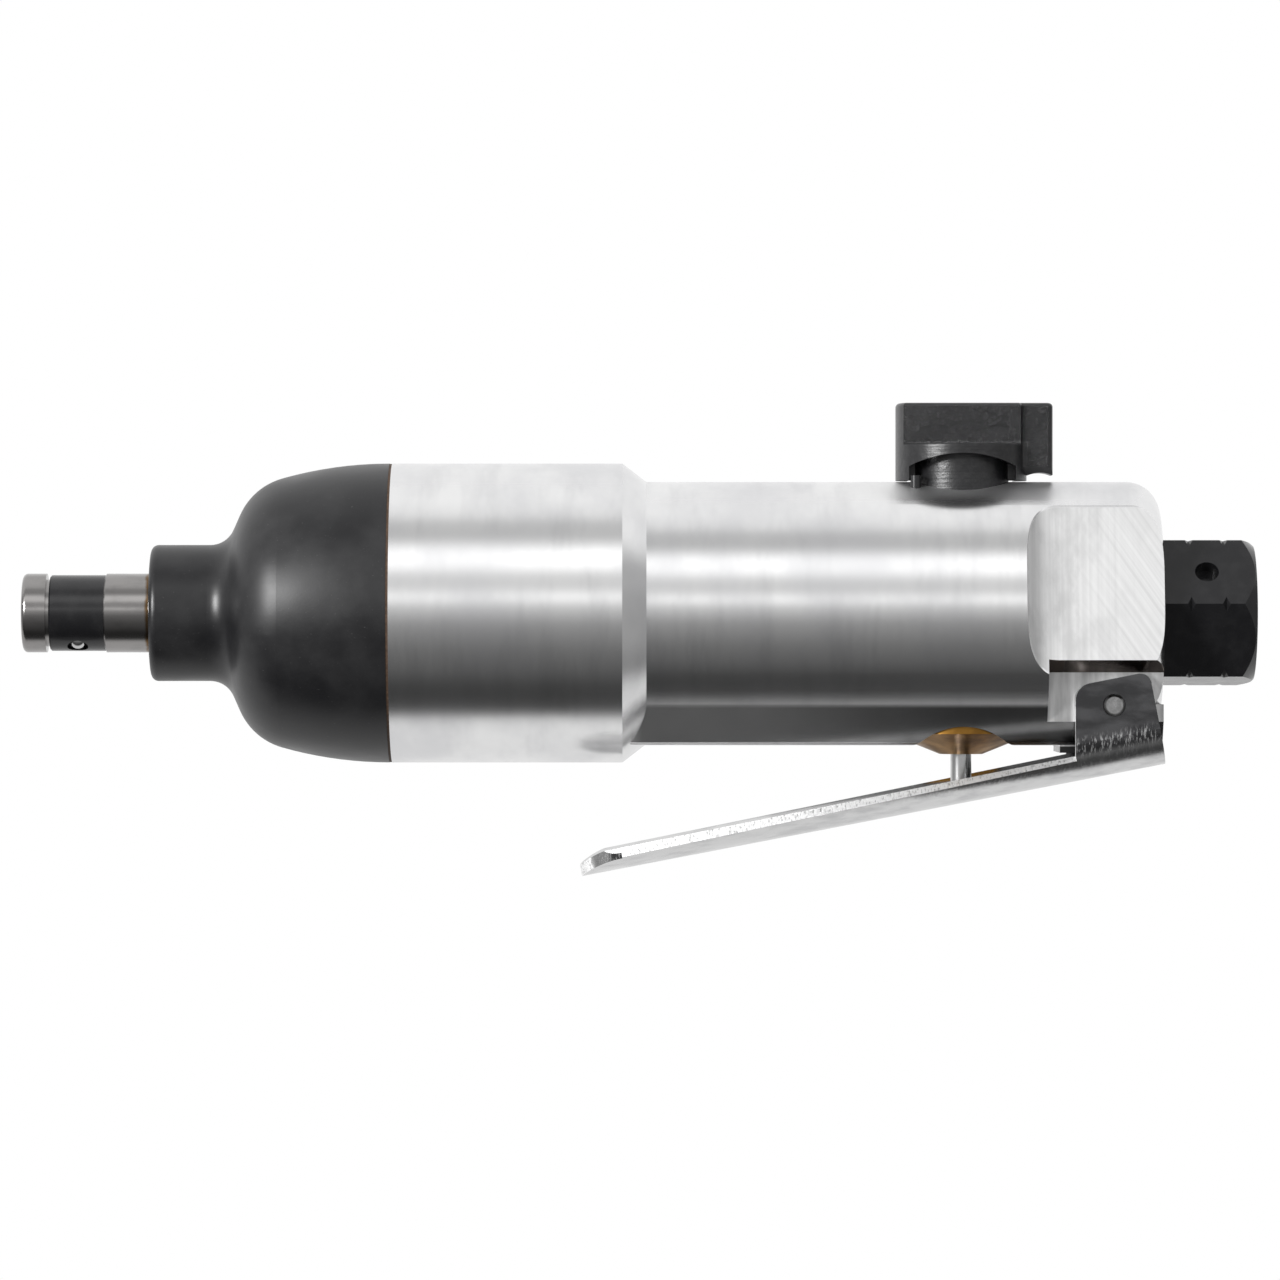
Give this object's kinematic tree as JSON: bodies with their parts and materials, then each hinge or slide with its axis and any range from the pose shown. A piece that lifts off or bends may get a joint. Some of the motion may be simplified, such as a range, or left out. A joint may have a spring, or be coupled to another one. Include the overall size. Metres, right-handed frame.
{
  "type": "pneumatic screwdriver",
  "caption": "Straight reversible air impact screwdriver with hex bit socket, lever throttle, reverse knob and threaded air inlet.",
  "frame": {"origin": "centre of the air inlet's mouth, on the tool axis", "axes": "+X out of the air inlet (the tool points to -X), +Z towards the reverse knob, -Y the side with the pictured pad"},
  "size_m": [0.1707, 0.0416, 0.0656],
  "materials": {
    "turned_aluminium": "turned and brushed, satin",
    "black_paint": "matte black with fine speckle",
    "gasket_fibre": "thin brown gasket",
    "bronze": "sintered bronze",
    "ground_steel": "ground",
    "black_oxide": "black oxide, satin",
    "hard_steel": "hardened",
    "vane_composite": "phenolic fabric",
    "cast_iron": "machined",
    "brass": "turned",
    "rubber": "nitrile",
    "spring_steel": "drawn wire",
    "plated_steel": "bright zinc plate",
    "black_casting": "as-cast, black coated"
  },
  "bodies": {
    "housing_body": {"housing": "turned_aluminium", "nose_cover": "black_paint", "joint_gasket": "gasket_fibre", "anvil_bushing": "bronze", "cylinder_liner": "cast_iron", "liner_dowel_pin": "ground_steel", "front_end_plate": "cast_iron", "front_bearing": "ground_steel", "rear_end_plate": "cast_iron", "rear_bearing": "ground_steel", "throttle_cap": "brass", "throttle_oring": "rubber", "throttle_seat": "rubber", "throttle_spring": "spring_steel", "lever_pin": "ground_steel", "stop_pin": "ground_steel", "detent_ball": "ground_steel", "detent_spring": "spring_steel", "inlet_bushing": "black_oxide", "inlet_oring": "rubber", "inlet_screen": "spring_steel"},
    "rotor_body": {"rotor": "ground_steel", "vanes": "vane_composite", "hammer_cage": "hard_steel", "hammer_pins": "ground_steel"},
    "hammer_rear_body": {"hammer_rear": "hard_steel"},
    "hammer_front_body": {"hammer_front": "hard_steel"},
    "anvil_body": {"anvil": "ground_steel", "retainer_sleeve": "black_oxide"},
    "ball_body": {"bit_ball": "ground_steel"},
    "lever_body": {"lever": "plated_steel"},
    "stem_body": {"throttle_stem": "ground_steel", "throttle_valve": "brass"},
    "knob_body": {"reverse_knob": "black_casting", "reverse_oring": "rubber"}
  },
  "joints": [
    {"name": "rotor_spin", "type": "hinge", "parent": "housing_body", "child": "rotor_body", "pos_m": [-0.0705, 0, 0], "axis": [-1, 0, 0], "continuous": true},
    {"name": "hammer_rear_swing", "type": "hinge", "parent": "rotor_body", "child": "hammer_rear_body", "pos_m": [-0.1009, 0, -0.0122], "axis": [-1, 0, 0], "range_deg": [-3, 3]},
    {"name": "hammer_front_swing", "type": "hinge", "parent": "rotor_body", "child": "hammer_front_body", "pos_m": [-0.1163, 0, 0.0122], "axis": [-1, 0, 0], "range_deg": [-3, 3]},
    {"name": "anvil_spin", "type": "hinge", "parent": "housing_body", "child": "anvil_body", "pos_m": [-0.145, 0, 0], "axis": [-1, 0, 0], "continuous": true},
    {"name": "ball_slide", "type": "slide", "parent": "anvil_body", "child": "ball_body", "axis": [0, -0.454, -0.891], "range_m": [0, 0.0003], "stiffness_N_per_m": 400, "springref_m": -0.0003},
    {"name": "lever_pivot", "type": "hinge", "parent": "housing_body", "child": "lever_body", "pos_m": [-0.02, 0, -0.0127], "axis": [0, 1, 0], "range_deg": [0, 6], "stiffness_Nm_per_rad": 2, "springref_deg": -20.05},
    {"name": "stem_slide", "type": "slide", "parent": "housing_body", "child": "stem_body", "axis": [0, 0, 1], "range_m": [0, 0.0024], "deforming": ["throttle_spring"]},
    {"name": "reverse_turn", "type": "hinge", "parent": "housing_body", "child": "knob_body", "pos_m": [-0.0405, 0, 0.02], "axis": [0, 0, -1], "range_deg": [0, 90]}
  ],
  "couplings": [
    {"joint": "anvil_spin", "follows": "rotor_spin", "ratio": 1},
    {"joint": "stem_slide", "follows": "lever_pivot", "m_per_rad": 0.0218}
  ]
}
